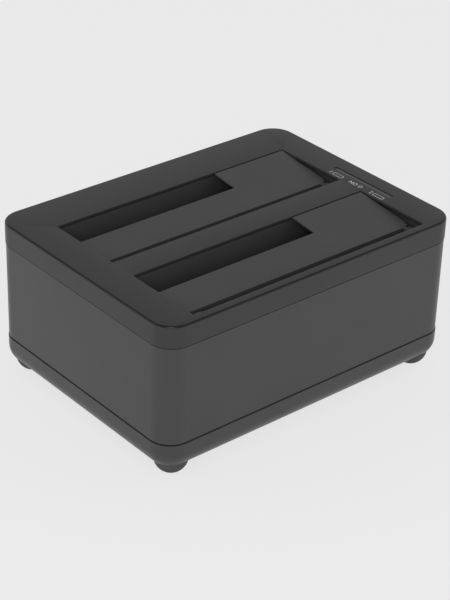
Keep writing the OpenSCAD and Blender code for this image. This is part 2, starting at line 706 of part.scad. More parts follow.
module main_board() color("#1f5c3a") difference() {
    translate([-board_x, board_y0, board_z]) cube([2 * board_x, board_y1 - board_y0, board_t]);
    for (p = board_posts) post(p, board_z - eps, board_top + eps, small_screw_r + ear_play);
}

module board_screws() color("#9a9a9c") for (p = board_posts)
    translate([p[0], p[1], board_top]) mirror([0, 0, 1]) screw(small_screw_r, board_t + boss_t, screw_head_r);

module case_screws() color("#6f7072") for (x = [-foot_x, foot_x], y = [-foot_y, foot_y])
    translate([x, y, foot_h + foot_pocket + head_t + 0.3]) screw(case_screw_r, 2 * boss_t, case_head_r);

// Drive connector: a moulded block with an L-shaped signal slot and an L-shaped power slot
module drive_connector(i) color("#1c1c1e") translate([connector_x, connector_y(i), board_top]) difference() {
    union() {
        translate([-sata_size[0] / 2, -sata_size[1] / 2, 0]) cube([sata_size[0], sata_size[1], sata_h - 3]);
        translate([-sata_size[0] / 2 + 2.6, -sata_size[1] / 2 + 0.6, 0])
            cube([sata_size[0] - 5.2, sata_size[1] - 1.2, sata_h]);
    }
    for (slot = connector_slots) translate([slot[0], -blade_t / 2, sata_h - 6.5]) {
        cube([slot[1], blade_t, 7]);
        translate([slot[2], -1.2, 0]) cube([1.2, 1.4, 7]);
    }
}

// Start, length and key position of the power slot and the signal slot
connector_slots = let (x0 = -(signal_l + power_l + key_gap) / 2)
    [[x0, power_l, 0], [x0 + power_l + key_gap, signal_l, signal_l - 1.2]];

module connector_contacts(i) color("#c8a24a") translate([connector_x, connector_y(i), board_top])
    for (slot = connector_slots) let (n = floor((slot[1] - 1.4) / 1.27))
        for (k = [0:n - 1]) translate([slot[0] + slot[1] / 2 + (k - (n - 1) / 2) * 1.27 - 0.3, blade_t / 2 - 0.35, sata_h - 6.5])
            cube([0.6, 0.35, 5.5]);

module data_socket_shell() color("#b9bbbd") translate([data_x, port_y, board_top]) difference() {
    translate([-data_face[0] / 2, -port_d, 0]) cube([data_face[0], port_d, data_face[1]]);
    translate([-data_face[0] / 2 + 0.4, -port_d + 0.4, 0.4])
        cube([data_face[0] - 0.8, port_d, data_face[1] - 0.8]);
}

// Moulded core: the stepped mouth, with a tongue in its lower part and a smaller one above
module data_socket_core() color("#2456a4") translate([data_x, port_y, board_top]) {
    inner = [data_face[0] - 0.9, data_face[1] - 0.9];
    difference() {
        translate([-inner[0] / 2, -port_d + 0.45, 0.45]) cube([inner[0], port_d - 0.65, inner[1]]);
        rotate([90, 0, 0]) translate([0, 0, -1]) linear_extrude(10.5) {
            translate([-4.25, 1.1]) square([8.5, 6.3]);
            polygon([[-4.25, 7.4], [4.25, 7.4], [2.9, 8.7], [-2.9, 8.7]]);
            translate([-2.9, 8.6]) square([5.8, 2.6]);
        }
    }
    translate([-2.8, -9.6, 2.9]) cube([5.6, 8.4, 3.2]);
    translate([-2.2, -9.6, 9.4]) cube([4.4, 8.4, 0.9]);
}

module power_socket() color("#1c1c1e") translate([jack_x, port_y, board_top]) difference() {
    translate([-jack_face[0] / 2, -jack_d, 0]) cube([jack_face[0], jack_d, jack_face[1]]);
    translate([0, 1, jack_axis_h]) rotate([90, 0, 0]) cylinder(d = jack_bore_d, h = jack_bore_depth + 1);
    translate([0, -jack_d - 1, jack_axis_h]) rotate([-90, 0, 0]) cylinder(d = jack_pin_d + 0.1, h = jack_d);
}

module power_socket_pin() color("#c9cbcd") translate([jack_x, port_y - jack_d, board_top + jack_axis_h])
    rotate([-90, 0, 0]) {
        cylinder(d = jack_pin_d, h = jack_d - 1.8);
        translate([0, 0, jack_d - 1.8 - eps]) cylinder(d1 = jack_pin_d, d2 = jack_pin_d * 2 / 3, h = jack_pin_d / 3);
    }

// Power switch: a snap-in body whose side walls carry the rocker's trunnions

rocker_w = 7.4;
rocker_rise = 1.5;
rocker_edge = 1;
rocker_foot = 2.5;
terminal = [0.8, 3, 4.8];
terminal_x = 3;
lead_r = 0.7;
trunnion_r = 1;
trunnion_l = 0.7;
rocker_room = 0.3;

module switch_body() color("#1c1c1e") translate([switch_x, recess_y, board_top + switch_h]) {
    cavity = [rocker_l + 2 * rocker_room, rocker_w + 0.4];
    difference() {
        union() {
            translate([-switch_face[0] / 2, 0, -switch_face[1] / 2]) cube([switch_face[0], 1, switch_face[1]]);
            translate([-switch_cut[0] / 2, -switch_d, -switch_cut[1] / 2]) cube([switch_cut[0], switch_d + eps, switch_cut[1]]);
        }
        translate([-cavity[0] / 2, -4.5, -cavity[1] / 2]) cube([cavity[0], 7, cavity[1]]);
        cylinder(r = trunnion_r + pin_fit, h = rocker_w + 2 * trunnion_l + 0.2, center = true);
    }
}

module switch_rocker() color("#2b2b2d") translate([switch_x, recess_y, board_top + switch_h])
    rotate([0, 0, -rocker_tilt]) {
        linear_extrude(rocker_w, center = true) polygon([
            [-rocker_l / 2, rocker_rise], [0, rocker_rise / 2], [rocker_l / 2, rocker_rise], [rocker_l / 2, -rocker_edge],
            [rocker_foot, -2 * rocker_foot * 0.6], [-rocker_foot, -2 * rocker_foot * 0.6], [-rocker_l / 2, -rocker_edge]
        ]);
        cylinder(r = trunnion_r, h = rocker_w + 2 * trunnion_l, center = true);
    }

module switch_terminals() color("#c9cbcd") for (s = [-1, 1])
    translate([switch_x + s * terminal_x - terminal[0] / 2, recess_y - switch_d - terminal[1],
        board_top + switch_h - terminal[2] / 2]) cube(terminal);

module switch_wires() color("#7a2326") for (s = [-1, 1])
    translate([switch_x + s * terminal_x, recess_y - switch_d - terminal[1], board_top])
        tube([[0, 0, switch_h], [0, -0.6, switch_h], [0, -1.3, switch_h - 0.3], [0, -1.8, switch_h - 0.9],
            [0, -2, switch_h - 1.8], [0, -2, 2], [0, -2, 0]], lead_r, 8, [1, 0, 0]);

// Small parts on the board: body sizes, the pitch and size of their legs, and their places
bridge = [10, 10, 1.4];
bridge_leg = [0.3, 1.1, 0.5];
bridge_pitch = 0.8;
memory = [5, 4, 1.5];
memory_leg = [0.4, 1.1, 0.6];
memory_pitch = 1.27;
leg_root = 0.1;
chip_lift = 0.2;
crystal_size = [5, 3.2, 1.2];
crystal_r = 0.6;
capacitor_r = 3.15;
capacitor_h = 7.2;
capacitor_rim = 0.3;
inductor = [6.8, 6.8, 4];
inductor_r = 1.2;
bridge_x = 0.26 * board_x;
memory_x = 0.57 * board_x;
power_y = port_y - 9;
capacitor_x = [switch_x + 11.4, switch_x + 18.8];
inductor_x = [data_x + 12.5, jack_x + 8.4];

module bridge_chip() color("#1a1a1b") translate([bridge_x, divider_y, board_top]) {
    translate([-bridge[0] / 2, -bridge[1] / 2, chip_lift]) cube(bridge);
    for (a = [0:90:270], k = [-5:5]) rotate([0, 0, a])
        translate([k * bridge_pitch - bridge_leg[0] / 2, bridge[1] / 2 - leg_root, 0]) cube(bridge_leg);
}

module memory_chip() color("#1a1a1b") translate([memory_x, divider_y, board_top]) {
    translate([-memory[0] / 2, -memory[1] / 2, chip_lift]) cube(memory);
    for (s = [0, 180], k = [-1.5:1.5]) rotate([0, 0, s])
        translate([k * memory_pitch - memory_leg[0] / 2, memory[1] / 2 - leg_root, 0]) cube(memory_leg);
}

module crystal() color("#b9bbbd") translate([0, divider_y, board_top])
    linear_extrude(crystal_size[2]) rounded_rect(crystal_size[0], crystal_size[1], crystal_r);

module filter_capacitors() color("#4a4d52") for (x = capacitor_x)
    translate([x, power_y, board_top]) rotate_extrude() {
        square([capacitor_r + capacitor_rim / 2, 2 * capacitor_rim]);
        square([capacitor_r, capacitor_h]);
        square([capacitor_r - capacitor_rim, capacitor_h + capacitor_rim]);
    }

module power_inductors() color("#3d3f42") for (x = inductor_x)
    translate([x, power_y, board_top]) linear_extrude(inductor[2]) rounded_rect(inductor[0], inductor[1], inductor_r);

// What is drawn

top_cover();
sleeve();
base_tray();
foot(-1, -1);  // foot_front_left
foot(1, -1);  // foot_front_right
foot(-1, 1);  // foot_rear_left
foot(1, 1);  // foot_rear_right
drive_well(0);  // front_drive_well
drive_well(1);  // rear_drive_well
well_screws();
door(0);  // front_door
door(1);  // rear_door
hinge_pin(0);  // front_hinge_pin
hinge_pin(1);  // rear_hinge_pin
door_spring(0);  // front_door_spring
door_spring(1);  // rear_door_spring
light_bar();
light_board();
status_lights();
light_board_screws();
light_cable();
main_board();
board_screws();
case_screws();
drive_connector(0);  // front_drive_connector
drive_connector(1);  // rear_drive_connector
connector_contacts(0);  // front_connector_contacts
connector_contacts(1);  // rear_connector_contacts
data_socket_shell();
data_socket_core();
power_socket();
power_socket_pin();
switch_body();
switch_rocker();
switch_terminals();
switch_wires();
bridge_chip();
memory_chip();
crystal();
filter_capacitors();
power_inductors();
light_cable_header();
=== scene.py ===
# Desktop docking station for two bare hard drives: a boxy moulded case on rubber feet, two bays
# with sprung doors in its top cover, and sockets and a rocker switch in its rear wall.
import math

import bmesh
import bpy
from mathutils import Matrix, Vector


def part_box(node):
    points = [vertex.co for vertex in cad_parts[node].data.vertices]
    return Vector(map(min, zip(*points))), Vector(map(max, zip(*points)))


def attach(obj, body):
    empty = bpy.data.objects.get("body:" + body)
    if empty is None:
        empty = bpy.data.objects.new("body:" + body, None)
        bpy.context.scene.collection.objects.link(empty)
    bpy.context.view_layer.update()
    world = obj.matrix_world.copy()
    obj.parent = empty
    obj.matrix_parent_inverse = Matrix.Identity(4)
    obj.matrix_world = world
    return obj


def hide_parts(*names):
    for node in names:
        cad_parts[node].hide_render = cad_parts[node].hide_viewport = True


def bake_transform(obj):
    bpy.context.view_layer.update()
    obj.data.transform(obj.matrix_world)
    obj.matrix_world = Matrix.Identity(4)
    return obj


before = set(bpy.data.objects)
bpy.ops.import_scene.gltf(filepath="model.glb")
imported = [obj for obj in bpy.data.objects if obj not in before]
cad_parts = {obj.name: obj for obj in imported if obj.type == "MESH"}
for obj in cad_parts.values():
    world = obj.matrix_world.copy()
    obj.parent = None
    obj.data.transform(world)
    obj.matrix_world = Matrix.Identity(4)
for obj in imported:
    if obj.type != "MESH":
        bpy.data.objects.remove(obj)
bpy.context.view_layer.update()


# Four feet: round domed pads of moulded rubber, matt and a little dusty, glued into shallow
# sockets under the corners of the base tray. The dock stands on their flat undersides.
MM = 0.001


def linear(code):
    # sRGB hex to the linear colour that a shader takes
    parts = [int(code[i:i + 2], 16) / 255 for i in (1, 3, 5)]
    return [*(c / 12.92 if c <= 0.04045 else ((c + 0.055) / 1.055) ** 2.4 for c in parts), 1]


def add(tree, kind, inputs=None, **settings):
    # One node with its settings, and its sockets set or linked. Where several sockets share a
    # name, the one in use is meant.
    made = tree.nodes.new("ShaderNode" + kind)
    for name, value in settings.items():
        setattr(made, name, value)
    for name, value in (inputs or {}).items():
        socket = made.inputs[name]
        if isinstance(name, str):
            socket = [i for i in made.inputs if i.name == name and i.enabled][0]
        if isinstance(value, bpy.types.NodeSocket):
            tree.links.new(value, socket)
        else:
            socket.default_value = value
    return made


def new_finish(name):
    # An empty material: its tree, its shader, and the piece's own coordinates in metres
    material = bpy.data.materials.new(name)
    material.use_nodes = True
    tree = material.node_tree
    place = add(tree, "TexCoord").outputs["Object"]
    return material, tree, tree.nodes["Principled BSDF"], place


def finish_nodes(material, *names):
    # Give CAD nodes a finish, and shade their curved faces smooth up to their sharp edges
    for name in names:
        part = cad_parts[name]
        for slot in part.material_slots:
            slot.material = material
        weld = part.modifiers.new("weld", "WELD")
        weld.merge_threshold = 0.002 * MM
        part.data.shade_smooth()
        split = part.modifiers.new("sharp_edges", "EDGE_SPLIT")
        split.split_angle = math.radians(32)


foot_rubber, tree, shader, place = new_finish("moulded_foot_rubber")
# Rubber dust lies in soft patches some 5 mm wide, over a grain of 0.25 mm
patches = add(tree, "TexNoise", {"Vector": place, "Scale": 1 / (5 * MM), "Detail": 3})
grain = add(tree, "TexNoise", {"Vector": place, "Scale": 1 / (0.25 * MM), "Detail": 2})
tint = add(tree, "ValToRGB", {"Fac": patches.outputs["Fac"]})
tint.color_ramp.elements[0].color = linear("#474748")
tint.color_ramp.elements[1].color = linear("#535353")
relief = add(tree, "Bump", {"Height": grain.outputs["Fac"], "Strength": 0.25, "Distance": 0.02 * MM})
tree.links.new(tint.outputs["Color"], shader.inputs["Base Color"])
tree.links.new(relief.outputs["Normal"], shader.inputs["Normal"])
shader.inputs["Roughness"].default_value = 0.72
shader.inputs["Specular IOR Level"].default_value = 0.3
finish_nodes(foot_rubber, "foot_front_left", "foot_front_right", "foot_rear_left", "foot_rear_right")


# Base tray: a shallow dish of dark grey ABS, injection moulded, with a rounded bottom edge, the
# screw pillars of the whole case and the posts that carry the main board.
def satin_abs(name, colour, roughness, sheen_level=0.25, painted_edge_shade=1):
    # Moulded in a spark-eroded tool, so the skin scatters light evenly. The real grain is about
    # 0.1 mm; it is drawn at 0.3 mm so that it shows. Cloudy bands 25 mm wide mark the resin's flow.
    # The tool is smoother at the upper edge radii, which are shinier; darkening them is a painted dark
    # reflection.
    material, tree, shader, place = new_finish(name)
    grain = add(tree, "TexNoise", {"Vector": place, "Scale": 1 / (0.3 * MM), "Detail": 2,
                                   "Roughness": 0.6})
    flow = add(tree, "TexNoise", {"Vector": place, "Scale": 1 / (25 * MM), "Detail": 2})
    base = linear(colour)
    tint = add(tree, "ValToRGB", {"Fac": flow.outputs["Fac"]})
    tint.color_ramp.elements[0].position = 0.3
    tint.color_ramp.elements[1].position = 0.7
    tint.color_ramp.elements[0].color = [0.96 * c for c in base[:3]] + [1]
    tint.color_ramp.elements[1].color = [1.04 * c for c in base[:3]] + [1]
    gloss = add(tree, "MapRange", {"Value": grain.outputs["Fac"], "From Min": 0.3, "From Max": 0.7,
                                   "To Min": roughness - 0.05, "To Max": roughness + 0.05})
    relief = add(tree, "Bump", {"Height": grain.outputs["Fac"], "Strength": 0.12,
                                "Distance": 0.02 * MM})
    # An upper edge radius is what faces neither sideways nor straight up
    normal = add(tree, "NewGeometry").outputs["Normal"]
    facing = add(tree, "SeparateXYZ", {"Vector": normal}).outputs["Z"]
    above = add(tree, "MapRange", {"Value": facing, "From Min": 0.1, "From Max": 0.35})
    below = add(tree, "MapRange", {"Value": facing, "From Min": 0.97, "From Max": 0.85})
    edge = add(tree, "Math", {0: above.outputs["Result"], 1: below.outputs["Result"]},
               operation="MULTIPLY").outputs["Value"]
    # Painted shade: a factor below 1 darkens the upper edge radii, a painted dark reflection along them
    painted_edge_colour = [painted_edge_shade * c for c in base[:3]] + [1]
    tone_with_painted_edge = add(tree, "Mix", {"Factor": edge, "A": tint.outputs["Color"], "B": painted_edge_colour},
               data_type="RGBA")
    shine = add(tree, "Mix", {"Factor": edge, "A": gloss.outputs["Result"], "B": 0.25})
    tree.links.new([o for o in tone_with_painted_edge.outputs if o.enabled][0], shader.inputs["Base Color"])
    tree.links.new([o for o in shine.outputs if o.enabled][0], shader.inputs["Roughness"])
    tree.links.new(relief.outputs["Normal"], shader.inputs["Normal"])
    shader.inputs["IOR"].default_value = 1.54
    shader.inputs["Specular IOR Level"].default_value = sheen_level
    return material


grey_abs = satin_abs("grey_moulded_abs", "#444445", 0.36)
finish_nodes(grey_abs, "base_tray")


# Main board: glass-epoxy laminate with green solder mask, screwed to four posts of the base. The
# mask dims the copper below to a faint pattern of tracks, and its skin is glossy.
solder_mask, tree, shader, place = new_finish("green_solder_mask")
# Tracks and gaps of about 0.4 mm in blocks of 3 mm
blocks = add(tree, "TexBrick", {"Vector": place, "Scale": 1 / (3 * MM), "Mortar Size": 0.06,
                                "Color1": linear("#1d4a33"), "Color2": linear("#23553b"),
                                "Mortar": linear("#2c6a49")})
weave = add(tree, "TexNoise", {"Vector": place, "Scale": 1 / (0.5 * MM), "Detail": 1})
relief = add(tree, "Bump", {"Height": weave.outputs["Fac"], "Strength": 0.1, "Distance": 0.02 * MM})
tree.links.new(blocks.outputs["Color"], shader.inputs["Base Color"])
tree.links.new(relief.outputs["Normal"], shader.inputs["Normal"])
shader.inputs["Roughness"].default_value = 0.35
finish_nodes(solder_mask, "main_board", "light_board")


# Screws: pan heads of zinc-plated steel. They hold the board to the base, the wells and the light
# board to the cover, and, from below, the base to the cover's pillars.
def drawn_metal(name, colour, roughness, grain_mm, stretch=(1, 1, 1)):
    # Fine lines or grain from drawing, rolling or plating break up the reflections
    material, tree, shader, place = new_finish(name)
    turned = add(tree, "Mapping", {"Vector": place, "Scale": stretch}).outputs["Vector"]
    grain = add(tree, "TexNoise", {"Vector": turned, "Scale": 1 / (grain_mm * MM), "Detail": 2})
    base = linear(colour)
    tint = add(tree, "ValToRGB", {"Fac": grain.outputs["Fac"]})
    tint.color_ramp.elements[0].color = [0.85 * c for c in base[:3]] + [1]
    tint.color_ramp.elements[1].color = base
    gloss = add(tree, "MapRange", {"Value": grain.outputs["Fac"], "To Min": roughness - 0.08,
                                   "To Max": roughness + 0.08})
    tree.links.new(tint.outputs["Color"], shader.inputs["Base Color"])
    tree.links.new(gloss.outputs["Result"], shader.inputs["Roughness"])
    shader.inputs["Metallic"].default_value = 1
    return material


# Plating leaves an even, slightly blue grey with a fine frost
zinc_plate = drawn_metal("zinc_plated_steel", "#b4b8bd", 0.38, 0.3)
finish_nodes(zinc_plate, "board_screws", "well_screws", "light_board_screws", "case_screws")


# Chips, crystal, capacitors, inductors and the light cable's header: bought parts soldered to the
# main board. Epoxy and ferrite are dull and grainy, the cans are bare metal, the header is nylon.
def moulded_nylon(name, colour, roughness, grain_mm=0.5):
    # Moulded smooth, with a faint uneven gloss where the skin set at different speeds
    material, tree, shader, place = new_finish(name)
    skin = add(tree, "TexNoise", {"Vector": place, "Scale": 1 / (grain_mm * MM), "Detail": 3})
    base = linear(colour)
    tint = add(tree, "ValToRGB", {"Fac": skin.outputs["Fac"]})
    tint.color_ramp.elements[0].color = [0.9 * c for c in base[:3]] + [1]
    tint.color_ramp.elements[1].color = [1.1 * c for c in base[:3]] + [1]
    gloss = add(tree, "MapRange", {"Value": skin.outputs["Fac"], "To Min": roughness - 0.1,
                                   "To Max": roughness + 0.1})
    relief = add(tree, "Bump", {"Height": skin.outputs["Fac"], "Strength": 0.08,
                                "Distance": 0.02 * MM})
    tree.links.new(tint.outputs["Color"], shader.inputs["Base Color"])
    tree.links.new(gloss.outputs["Result"], shader.inputs["Roughness"])
    tree.links.new(relief.outputs["Normal"], shader.inputs["Normal"])
    shader.inputs["IOR"].default_value = 1.53
    return material


chip_epoxy = moulded_nylon("filled_chip_epoxy", "#1b1b1c", 0.6, 0.3)
pressed_ferrite = moulded_nylon("pressed_ferrite", "#3a3a3c", 0.8, 0.4)
natural_nylon = moulded_nylon("natural_nylon", "#ddd5bf", 0.45)
# Drawing marks the cans with upright lines
drawn_aluminium = drawn_metal("drawn_aluminium_can", "#b9bcc0", 0.32, 0.4, (1, 1, 0.1))
finish_nodes(chip_epoxy, "bridge_chip", "memory_chip")
finish_nodes(pressed_ferrite, "power_inductors")
finish_nodes(natural_nylon, "light_cable_header")
finish_nodes(drawn_aluminium, "filter_capacitors", "crystal")


# Drive connectors: black nylon towers that stand on the board and reach up through the floor of
# each well, with gold-flashed contacts let into one side of the two blades.
black_nylon = moulded_nylon("black_moulded_nylon", "#1e1e20", 0.42)
# A thin flash over stamped strip: warm and bright, with upright lines from the stamping
gold_flash = drawn_metal("gold_flashed_contacts", "#d9b36a", 0.28, 0.3, (1, 1, 0.15))
finish_nodes(black_nylon, "front_drive_connector", "rear_drive_connector")
finish_nodes(gold_flash, "front_connector_contacts", "rear_connector_contacts")


# Rear sockets: a square data socket with a tinned steel shell and a blue nylon core, and a barrel
# power socket of black nylon with a steel pin. Both are soldered to the board's rear edge.
# Rolled sheet and drawn pins are bright, with fine lines lengthways
tinned_steel = drawn_metal("tinned_sheet_steel", "#c3c5c8", 0.3, 0.5, (0.2, 1, 1))
drawn_steel = drawn_metal("drawn_bright_steel", "#c4c6c9", 0.24, 0.15, (0.05, 1, 1))
blue_nylon = moulded_nylon("blue_moulded_nylon", "#2a5aa6", 0.4)
finish_nodes(tinned_steel, "data_socket_shell")
finish_nodes(blue_nylon, "data_socket_core")
finish_nodes(black_nylon, "power_socket")
finish_nodes(drawn_steel, "power_socket_pin")


def strip(low, high, edge):
    # A thin bar between two corners in mm, with its edges broken
    bar = bmesh.new()
    bmesh.ops.create_cube(bar, size=1)
    low, high = Vector(low) * MM, Vector(high) * MM
    bmesh.ops.scale(bar, vec=high - low, verts=bar.verts)
    bmesh.ops.translate(bar, vec=(low + high) / 2, verts=bar.verts)
    bmesh.ops.bevel(bar, geom=bar.edges[:], offset=edge * MM, affect="EDGES", segments=2,
                    profile=0.5, material=-1)
    mesh = bpy.data.meshes.new("strip")
    bar.to_mesh(mesh)
    bar.free()
    return mesh


def join(name, meshes, material, body=None):
    # One piece from several meshes, with its finish, and with its body if one is given.
    joined = bmesh.new()
    for mesh in meshes:
        joined.from_mesh(mesh)
    mesh = bpy.data.meshes.new(name)
    joined.to_mesh(mesh)
    joined.free()
    mesh.materials.append(material)
    piece = bpy.data.objects.new(name, mesh)
    bpy.context.scene.collection.objects.link(piece)
    if body:
        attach(piece, body)
    return piece


# Two wide contacts lie on each face of the data socket's lower tongue, and five narrow ones under
# the upper tongue. Places and sizes in mm.
socket_x = 8.8
contact_back, contact_front = 39.2, 46.4
contact_t = 0.15
contacts = []
for x in (socket_x - 1.25, socket_x + 1.25):
    for z in (26.15, 22.9):
        contacts.append(strip((x - 0.5, contact_back, z), (x + 0.5, contact_front, z + contact_t), 0.05))
upper_z = 29.4
for k in range(-2, 3):
    x = socket_x + 0.8 * k
    contacts.append(strip((x - 0.2, contact_back, upper_z),
                          (x + 0.2, contact_front, upper_z + contact_t), 0.04))
join("data_socket_contacts", contacts, gold_flash, "housing")


# Power switch: a snap-in rocker of black nylon in the rear wall, with tinned blades behind it and
# two red leads down to the board. Its I and O are pad printed in white on the two halves.
finish_nodes(black_nylon, "switch_body", "switch_rocker")
finish_nodes(drawn_steel, "switch_terminals")


def wire(name, points, radius):
    # A round wire through a row of points, made a mesh
    curve = bpy.data.curves.new(name, "CURVE")
    curve.dimensions = "3D"
    curve.bevel_depth = radius
    curve.bevel_resolution = 4
    curve.use_fill_caps = True
    line = curve.splines.new("POLY")
    line.points.add(len(points) - 1)
    for spot, point in zip(line.points, points):
        spot.co = (*point, 1)
    shape = bpy.data.objects.new(name, curve)
    mesh = bpy.data.meshes.new_from_object(shape)
    mesh.name = name
    bpy.data.objects.remove(shape)
    mesh.shade_smooth()
    return mesh


def smooth_route(points, steps):
    # Points on a smooth curve that passes through the given ones
    ends = [points[0] * 2 - points[1], *points, points[-1] * 2 - points[-2]]
    route = []
    for a, b, c, d in zip(ends, ends[1:], ends[2:], ends[3:]):
        for k in range(steps):
            t = k / steps
            route.append(0.5 * (2 * b + (c - a) * t + (2 * a - 5 * b + 4 * c - d) * t ** 2
                                + (3 * b - a - 3 * c + d) * t ** 3))
    return [*route, points[-1]]


# Each lead runs from the end of its blade, over and down to the board. The route is in mm back from
# the blade's end and up from the board.
switch_x, blade_pitch, blade_end = -21.2, 6, 36.35
board_top = 20.1
lead_route = [(0, 8), (-0.6, 8), (-1.3, 7.7), (-1.8, 7.1), (-2, 6.2), (-2, 2), (-2, 0)]
leads = []
for side in (-0.5, 0.5):
    x = switch_x + blade_pitch * side
    lead = [Vector((x, blade_end + y, board_top + z)) * MM for y, z in lead_route]
    leads.append(wire("lead", smooth_route(lead, 6), 0.7 * MM))
# Soft PVC, drawn over the wire: a waxy dark red
red_pvc = moulded_nylon("red_pvc_sleeve", "#8c2a2c", 0.5)
switch_leads = join("switch_leads", leads, red_pvc, "housing")
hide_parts("switch_wires")


def printed(mark, place):
    # Give a flat mark the thickness of a coat of ink, and set it on its face
    coat = bmesh.ops.extrude_face_region(mark, geom=mark.faces[:])["geom"]
    raised = [v for v in coat if isinstance(v, bmesh.types.BMVert)]
    bmesh.ops.translate(mark, verts=raised, vec=(0, 0, 0.02 * MM))
    bmesh.ops.recalc_face_normals(mark, faces=mark.faces)
    mark.transform(place)
    mesh = bpy.data.meshes.new("mark")
    mark.to_mesh(mesh)
    mark.free()
    return mesh


def ring_mark(inner, outer, sweep):
    # A flat ring, or an arc of one with its gap towards +Y
    ring = bmesh.new()
    pair = [ring.verts.new((r * MM, 0, 0)) for r in (inner, outer)]
    line = ring.edges.new(pair)
    bmesh.ops.rotate(ring, verts=pair, matrix=Matrix.Rotation(math.radians(270 - sweep / 2), 3, "Z"))
    bmesh.ops.spin(ring, geom=[*pair, line], axis=(0, 0, 1), angle=math.radians(sweep), steps=32,
                   use_merge=sweep == 360)
    bmesh.ops.recalc_face_normals(ring, faces=ring.faces)
    return ring


def bar_mark(width, height):
    # A flat bar round its own middle
    bar = bmesh.new()
    bmesh.ops.create_grid(bar, x_segments=1, y_segments=1, size=0.5)
    bmesh.ops.scale(bar, vec=(width * MM, height * MM, 1), verts=bar.verts)
    return bar


white_print, tree, shader, place = new_finish("white_pad_print")
# Thin ink lets the plastic show through in specks about 0.1 mm wide
specks = add(tree, "TexNoise", {"Vector": place, "Scale": 1 / (0.1 * MM), "Detail": 2})
tint = add(tree, "ValToRGB", {"Fac": specks.outputs["Fac"]})
tint.color_ramp.elements[0].color = linear("#b0b0b0")
tint.color_ramp.elements[1].color = linear("#d2d2d2")
tree.links.new(tint.outputs["Color"], shader.inputs["Base Color"])
shader.inputs["Roughness"].default_value = 0.55
# The two halves of the rocker's face slope inwards to its middle, and at rest it is turned 8 degrees
rocker_axis = Vector((switch_x, 48.85, 28.1)) * MM
rocker_rest = Matrix.Translation(rocker_axis) @ Matrix.Rotation(math.radians(-8), 4, "Z")
half_l, half_rise, half_middle = 5.6, 0.75, 1.12
slope = math.atan2(half_rise, half_l)
upright = Matrix(((-1, 0, 0, 0), (0, 0, 1, 0), (0, 1, 0, 0), (0, 0, 0, 1)))
marks = []
for side, mark in ((-1, bar_mark(0.5, 3)), (1, ring_mark(1.1, 1.55, 360))):
    middle = Matrix.Translation(Vector((half_l / 2 * side, half_middle, 0)) * MM)
    face = middle @ Matrix.Rotation(side * slope, 4, "Z")
    marks.append(printed(mark, rocker_rest @ face @ upright))
join("rocker_marks", marks, white_print, "rocker")


# Drive wells: deep black ABS boxes, open at the top, that guide a drive down onto its connector
# and carry the door's hinge. They hang from the cover by ears and screws.
black_abs = satin_abs("black_matt_abs", "#404041", 0.62, 0.3)
finish_nodes(black_abs, "front_drive_well", "rear_drive_well")


# Sleeve: the tall wall round the case, a tube of the same grey ABS as the base, held between the
# base tray and the cover with a narrow shadow gap above and below.
finish_nodes(grey_abs, "sleeve")


# Bay doors: flat L-shaped flaps of black ABS with knuckles at both ends of the near edge. A drive
# pushes one down about its steel pins, and a torsion spring at the left end shuts it again.
door_abs = satin_abs("black_satin_door_abs", "#464647", 0.4, 0.4)
finish_nodes(door_abs, "front_door", "rear_door")
finish_nodes(drawn_steel, "front_hinge_pin", "rear_hinge_pin")
# Spring wire is greyer than the pins, from its heat treatment, with lines along the drawing
spring_wire = drawn_metal("drawn_spring_wire", "#a9abae", 0.3, 0.12, (0.2, 1, 1))
# A spring's points are in mm along X and from the hinge axis: a leg under the door, the coil that
# winds away from it, and a leg against the well
hinge_z = 58.7086
wire_radius = 0.2
leg_x, leg_tip, leg_bend = -51, (9.05, -0.004), (4.5747, -0.4744)
well_leg_tip = (-54.3197, -3.65, -4.3029)
coil_radius, coil_pitch = 0.95, 0.85
coil_start, coil_sweep, coil_steps = -84, 1406, 390
for bay, hinge_y in (("front", -43.05), ("rear", 1.95)):
    path = [(leg_x, *leg_tip), (leg_x, *leg_bend)]
    for step in range(coil_steps + 1):
        turned = coil_sweep * step / coil_steps
        angle = math.radians(coil_start - turned)
        path.append((leg_x - turned * coil_pitch / 360,
                     coil_radius * math.cos(angle), coil_radius * math.sin(angle)))
    path.append(well_leg_tip)
    route = [Vector((x, hinge_y + y, hinge_z + z)) * MM for x, y, z in path]
    coil = wire("spring", route, wire_radius * MM)
    spring = join(f"{bay}_torsion_spring", [coil], spring_wire)
    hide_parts(f"{bay}_door_spring")
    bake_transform(spring)


# Status lights: three clear lamps on a narrow board under the cover, joined to the main board by a
# three-core cable. A smoked plastic bar in the cover's window carries their light.
lamp_resin, tree, shader, place = new_finish("clear_lamp_resin")
# Cast resin, shiny and a little milky, in clouds of 0.8 mm
cloud = add(tree, "TexNoise", {"Vector": place, "Scale": 1 / (0.8 * MM), "Detail": 2})
tint = add(tree, "ValToRGB", {"Fac": cloud.outputs["Fac"]})
tint.color_ramp.elements[0].color = linear("#d8d5c6")
tint.color_ramp.elements[1].color = linear("#efece0")
tree.links.new(tint.outputs["Color"], shader.inputs["Base Color"])
shader.inputs["Roughness"].default_value = 0.2
shader.inputs["IOR"].default_value = 1.52
finish_nodes(lamp_resin, "status_lights")
smoked_plastic, tree, shader, place = new_finish("smoked_light_bar")
# Polished on top and cloudy inside, with soft streaks about 2 mm long
cloud = add(tree, "TexNoise", {"Vector": place, "Scale": 1 / (2 * MM), "Detail": 2})
tint = add(tree, "ValToRGB", {"Fac": cloud.outputs["Fac"]})
tint.color_ramp.elements[0].color = linear("#5a5b5d")
tint.color_ramp.elements[1].color = linear("#68696b")
tree.links.new(tint.outputs["Color"], shader.inputs["Base Color"])
shader.inputs["Roughness"].default_value = 0.28
shader.inputs["IOR"].default_value = 1.49
finish_nodes(smoked_plastic, "light_bar")
